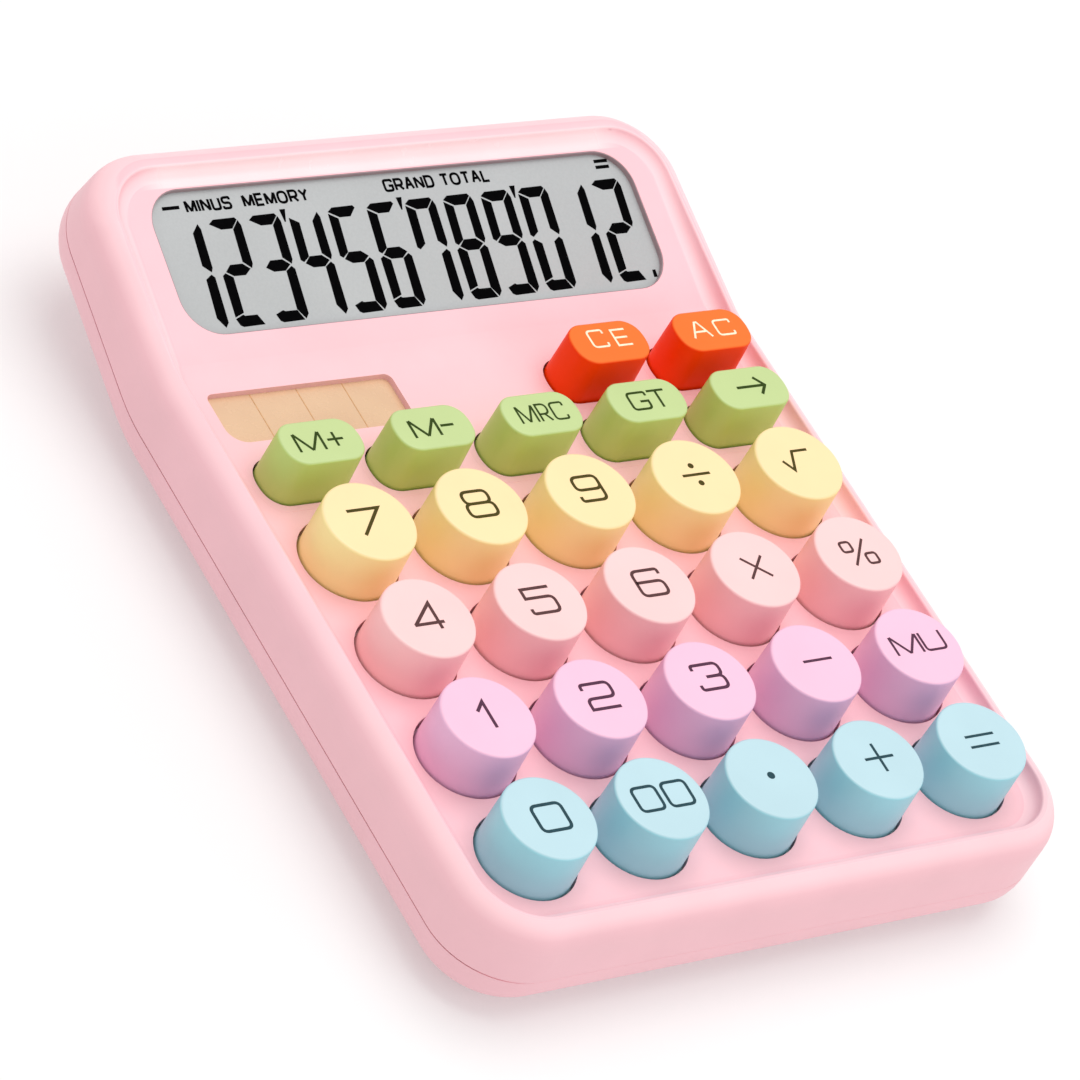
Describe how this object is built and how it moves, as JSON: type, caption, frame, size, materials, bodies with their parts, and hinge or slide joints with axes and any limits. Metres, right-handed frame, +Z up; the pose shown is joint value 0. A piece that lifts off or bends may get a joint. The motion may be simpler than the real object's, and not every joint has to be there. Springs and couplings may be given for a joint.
{
  "type": "desk calculator",
  "caption": "Pastel desk calculator with a tilted display, round and oblong sprung keys in a sunken deck, a solar window and a turn-lock battery cover.",
  "frame": {"origin": "centre of the bounding box on the plane the feet rest on", "axes": "+X to the user's right, +Y from the front edge towards the display, +Z up"},
  "size_m": [0.1048, 0.1388, 0.0262],
  "materials": {
    "case_pink": "satin moulded ABS",
    "key_blue": "satin moulded ABS",
    "key_lilac": "satin moulded ABS",
    "key_pink": "satin moulded ABS",
    "key_yellow": "satin moulded ABS",
    "key_green": "satin moulded ABS",
    "key_red": "satin moulded ABS",
    "window_clear": "clear flat sheet",
    "lcd_glass": "grey reflective panel",
    "solar_cells": "glass over thin film cells",
    "silicone": "moulded silicone",
    "board_green": "solder resist on laminate",
    "potting_black": "epoxy potting",
    "can_aluminium": "drawn can",
    "holder_white": "moulded ABS",
    "ribbon_amber": "polyimide film",
    "cell_steel": "stainless can",
    "contact_steel": "plated spring steel",
    "lead_red": "insulated lead",
    "lead_black": "insulated lead",
    "screw_steel": "zinc plated",
    "foot_rubber": "moulded rubber"
  },
  "bodies": {
    "case": {"top_case": "case_pink", "bottom_case": "case_pink", "display_window": "window_clear", "lcd_panel": "lcd_glass", "solar_panel": "solar_cells", "key_dome_sheet": "silicone", "circuit_board": "board_green", "controller_chip": "potting_black", "buffer_capacitor": "can_aluminium", "lcd_holder": "holder_white", "lcd_ribbon": "ribbon_amber", "battery_cell": "cell_steel", "battery_contact_positive": "contact_steel", "battery_contact_negative": "contact_steel", "battery_lead_red": "lead_red", "battery_lead_black": "lead_black", "solar_lead_red": "lead_red", "solar_lead_black": "lead_black", "board_screws": "screw_steel", "holder_screws": "screw_steel", "case_screws": "screw_steel", "foot_front_left": "foot_rubber", "foot_front_right": "foot_rubber", "foot_rear_left": "foot_rubber", "foot_rear_right": "foot_rubber"},
    "key_0": {"key_0": "key_blue"},
    "key_00": {"key_00": "key_blue"},
    "key_decimal": {"key_decimal": "key_blue"},
    "key_add": {"key_add": "key_blue"},
    "key_equals": {"key_equals": "key_blue"},
    "key_1": {"key_1": "key_lilac"},
    "key_2": {"key_2": "key_lilac"},
    "key_3": {"key_3": "key_lilac"},
    "key_subtract": {"key_subtract": "key_lilac"},
    "key_mark_up": {"key_mark_up": "key_lilac"},
    "key_4": {"key_4": "key_pink"},
    "key_5": {"key_5": "key_pink"},
    "key_6": {"key_6": "key_pink"},
    "key_multiply": {"key_multiply": "key_pink"},
    "key_percent": {"key_percent": "key_pink"},
    "key_7": {"key_7": "key_yellow"},
    "key_8": {"key_8": "key_yellow"},
    "key_9": {"key_9": "key_yellow"},
    "key_divide": {"key_divide": "key_yellow"},
    "key_square_root": {"key_square_root": "key_yellow"},
    "key_memory_add": {"key_memory_add": "key_green"},
    "key_memory_subtract": {"key_memory_subtract": "key_green"},
    "key_memory_recall": {"key_memory_recall": "key_green"},
    "key_grand_total": {"key_grand_total": "key_green"},
    "key_backspace": {"key_backspace": "key_green"},
    "key_clear_entry": {"key_clear_entry": "key_red"},
    "key_all_clear": {"key_all_clear": "key_red"},
    "battery_cover": {"battery_cover": "case_pink"}
  },
  "joints": [
    {"name": "key_0_press", "type": "slide", "parent": "case", "child": "key_0", "axis": [0, 0, -1], "range_m": [0, 0.0025], "stiffness_N_per_m": 240, "deforming": ["key_dome_sheet"]},
    {"name": "key_00_press", "type": "slide", "parent": "case", "child": "key_00", "axis": [0, 0, -1], "range_m": [0, 0.0025], "stiffness_N_per_m": 240, "deforming": ["key_dome_sheet"]},
    {"name": "key_decimal_press", "type": "slide", "parent": "case", "child": "key_decimal", "axis": [0, 0, -1], "range_m": [0, 0.0025], "stiffness_N_per_m": 240, "deforming": ["key_dome_sheet"]},
    {"name": "key_add_press", "type": "slide", "parent": "case", "child": "key_add", "axis": [0, 0, -1], "range_m": [0, 0.0025], "stiffness_N_per_m": 240, "deforming": ["key_dome_sheet"]},
    {"name": "key_equals_press", "type": "slide", "parent": "case", "child": "key_equals", "axis": [0, 0, -1], "range_m": [0, 0.0025], "stiffness_N_per_m": 240, "deforming": ["key_dome_sheet"]},
    {"name": "key_1_press", "type": "slide", "parent": "case", "child": "key_1", "axis": [0, 0, -1], "range_m": [0, 0.0025], "stiffness_N_per_m": 240, "deforming": ["key_dome_sheet"]},
    {"name": "key_2_press", "type": "slide", "parent": "case", "child": "key_2", "axis": [0, 0, -1], "range_m": [0, 0.0025], "stiffness_N_per_m": 240, "deforming": ["key_dome_sheet"]},
    {"name": "key_3_press", "type": "slide", "parent": "case", "child": "key_3", "axis": [0, 0, -1], "range_m": [0, 0.0025], "stiffness_N_per_m": 240, "deforming": ["key_dome_sheet"]},
    {"name": "key_subtract_press", "type": "slide", "parent": "case", "child": "key_subtract", "axis": [0, 0, -1], "range_m": [0, 0.0025], "stiffness_N_per_m": 240, "deforming": ["key_dome_sheet"]},
    {"name": "key_mark_up_press", "type": "slide", "parent": "case", "child": "key_mark_up", "axis": [0, 0, -1], "range_m": [0, 0.0025], "stiffness_N_per_m": 240, "deforming": ["key_dome_sheet"]},
    {"name": "key_4_press", "type": "slide", "parent": "case", "child": "key_4", "axis": [0, 0, -1], "range_m": [0, 0.0025], "stiffness_N_per_m": 240, "deforming": ["key_dome_sheet"]},
    {"name": "key_5_press", "type": "slide", "parent": "case", "child": "key_5", "axis": [0, 0, -1], "range_m": [0, 0.0025], "stiffness_N_per_m": 240, "deforming": ["key_dome_sheet"]},
    {"name": "key_6_press", "type": "slide", "parent": "case", "child": "key_6", "axis": [0, 0, -1], "range_m": [0, 0.0025], "stiffness_N_per_m": 240, "deforming": ["key_dome_sheet"]},
    {"name": "key_multiply_press", "type": "slide", "parent": "case", "child": "key_multiply", "axis": [0, 0, -1], "range_m": [0, 0.0025], "stiffness_N_per_m": 240, "deforming": ["key_dome_sheet"]},
    {"name": "key_percent_press", "type": "slide", "parent": "case", "child": "key_percent", "axis": [0, 0, -1], "range_m": [0, 0.0025], "stiffness_N_per_m": 240, "deforming": ["key_dome_sheet"]},
    {"name": "key_7_press", "type": "slide", "parent": "case", "child": "key_7", "axis": [0, 0, -1], "range_m": [0, 0.0025], "stiffness_N_per_m": 240, "deforming": ["key_dome_sheet"]},
    {"name": "key_8_press", "type": "slide", "parent": "case", "child": "key_8", "axis": [0, 0, -1], "range_m": [0, 0.0025], "stiffness_N_per_m": 240, "deforming": ["key_dome_sheet"]},
    {"name": "key_9_press", "type": "slide", "parent": "case", "child": "key_9", "axis": [0, 0, -1], "range_m": [0, 0.0025], "stiffness_N_per_m": 240, "deforming": ["key_dome_sheet"]},
    {"name": "key_divide_press", "type": "slide", "parent": "case", "child": "key_divide", "axis": [0, 0, -1], "range_m": [0, 0.0025], "stiffness_N_per_m": 240, "deforming": ["key_dome_sheet"]},
    {"name": "key_square_root_press", "type": "slide", "parent": "case", "child": "key_square_root", "axis": [0, 0, -1], "range_m": [0, 0.0025], "stiffness_N_per_m": 240, "deforming": ["key_dome_sheet"]},
    {"name": "key_memory_add_press", "type": "slide", "parent": "case", "child": "key_memory_add", "axis": [0, 0, -1], "range_m": [0, 0.0025], "stiffness_N_per_m": 240, "deforming": ["key_dome_sheet"]},
    {"name": "key_memory_subtract_press", "type": "slide", "parent": "case", "child": "key_memory_subtract", "axis": [0, 0, -1], "range_m": [0, 0.0025], "stiffness_N_per_m": 240, "deforming": ["key_dome_sheet"]},
    {"name": "key_memory_recall_press", "type": "slide", "parent": "case", "child": "key_memory_recall", "axis": [0, 0, -1], "range_m": [0, 0.0025], "stiffness_N_per_m": 240, "deforming": ["key_dome_sheet"]},
    {"name": "key_grand_total_press", "type": "slide", "parent": "case", "child": "key_grand_total", "axis": [0, 0, -1], "range_m": [0, 0.0025], "stiffness_N_per_m": 240, "deforming": ["key_dome_sheet"]},
    {"name": "key_backspace_press", "type": "slide", "parent": "case", "child": "key_backspace", "axis": [0, 0, -1], "range_m": [0, 0.0025], "stiffness_N_per_m": 240, "deforming": ["key_dome_sheet"]},
    {"name": "key_clear_entry_press", "type": "slide", "parent": "case", "child": "key_clear_entry", "axis": [0, 0, -1], "range_m": [0, 0.0025], "stiffness_N_per_m": 240, "deforming": ["key_dome_sheet"]},
    {"name": "key_all_clear_press", "type": "slide", "parent": "case", "child": "key_all_clear", "axis": [0, 0, -1], "range_m": [0, 0.0025], "stiffness_N_per_m": 240, "deforming": ["key_dome_sheet"]},
    {"name": "battery_cover_turn", "type": "hinge", "parent": "case", "child": "battery_cover", "pos_m": [-0.02, 0.05265, 0.00689], "axis": [0, -0.2756, 0.9613], "range_deg": [0, 60]}
  ]
}
